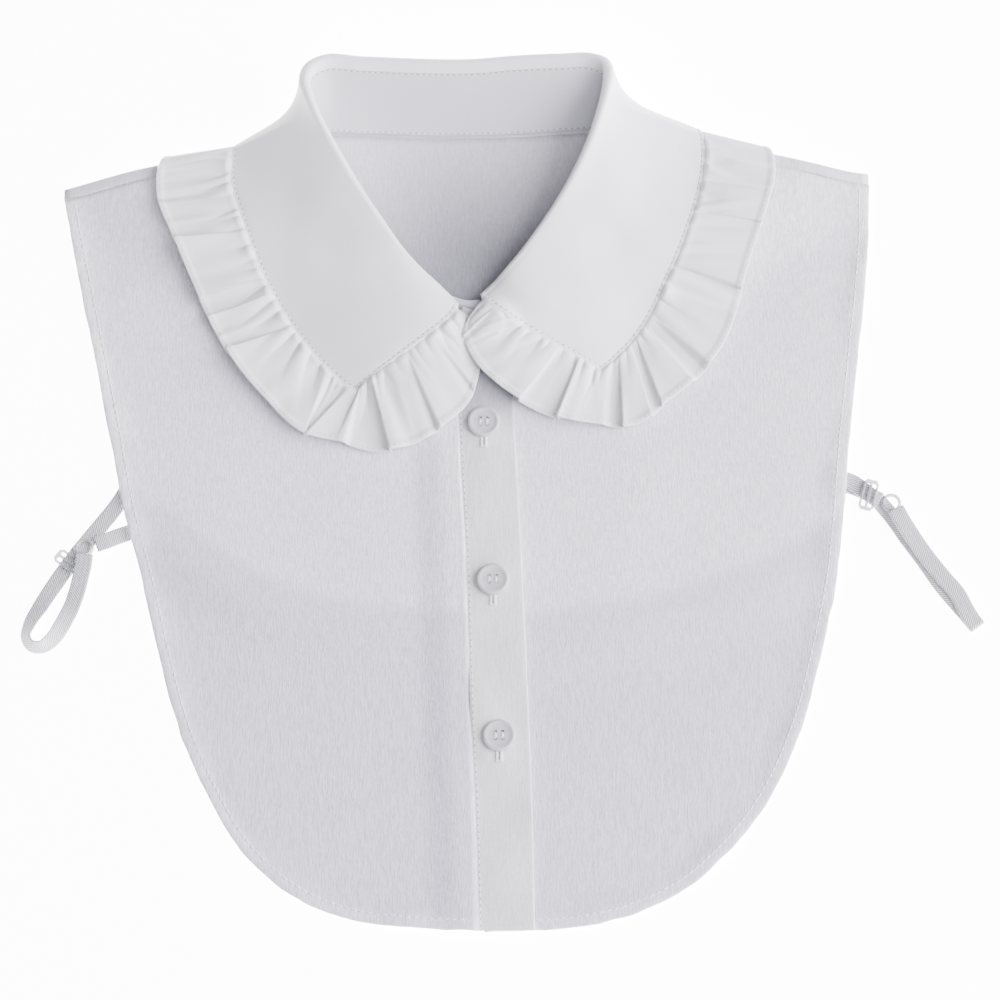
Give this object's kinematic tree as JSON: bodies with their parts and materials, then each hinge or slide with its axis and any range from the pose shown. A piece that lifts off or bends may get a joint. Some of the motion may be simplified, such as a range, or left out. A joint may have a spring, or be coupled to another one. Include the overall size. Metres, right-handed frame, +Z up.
{
  "type": "false collar",
  "caption": "Sleeveless short bodice with a buttoned front, a rolled collar edged with a gathered ruffle and elastic side tapes, laid flat.",
  "frame": {"origin": "under the middle of the whole piece, on the table it lies on", "axes": "+Z up from the table, +Y from the hem towards the neck, -X the wearer's right side"},
  "size_m": [0.3716, 0.3565, 0.028],
  "materials": {
    "bodice_cloth": "matte woven, slightly see-through",
    "collar_cloth": "matte plain weave",
    "ruffle_cloth": "matte plain weave, gathered",
    "button_resin": "satin",
    "elastic_tape": "matte ribbed",
    "clear_plastic": "clear, polished"
  },
  "bodies": {
    "root": {"back_panel": "bodice_cloth", "front_right": "bodice_cloth", "front_left": "bodice_cloth", "placket": "collar_cloth", "collar_stand": "collar_cloth", "collar_leaf": "collar_cloth", "ruffle": "ruffle_cloth", "button_1": "button_resin", "button_2": "button_resin", "button_3": "button_resin", "button_collar": "button_resin", "strap_back_left": "elastic_tape", "strap_front_left": "elastic_tape", "strap_back_right": "elastic_tape", "strap_front_right": "elastic_tape", "ring_left": "clear_plastic", "ring_right": "clear_plastic", "slider_left": "clear_plastic", "slider_right": "clear_plastic"}
  },
  "joints": []
}
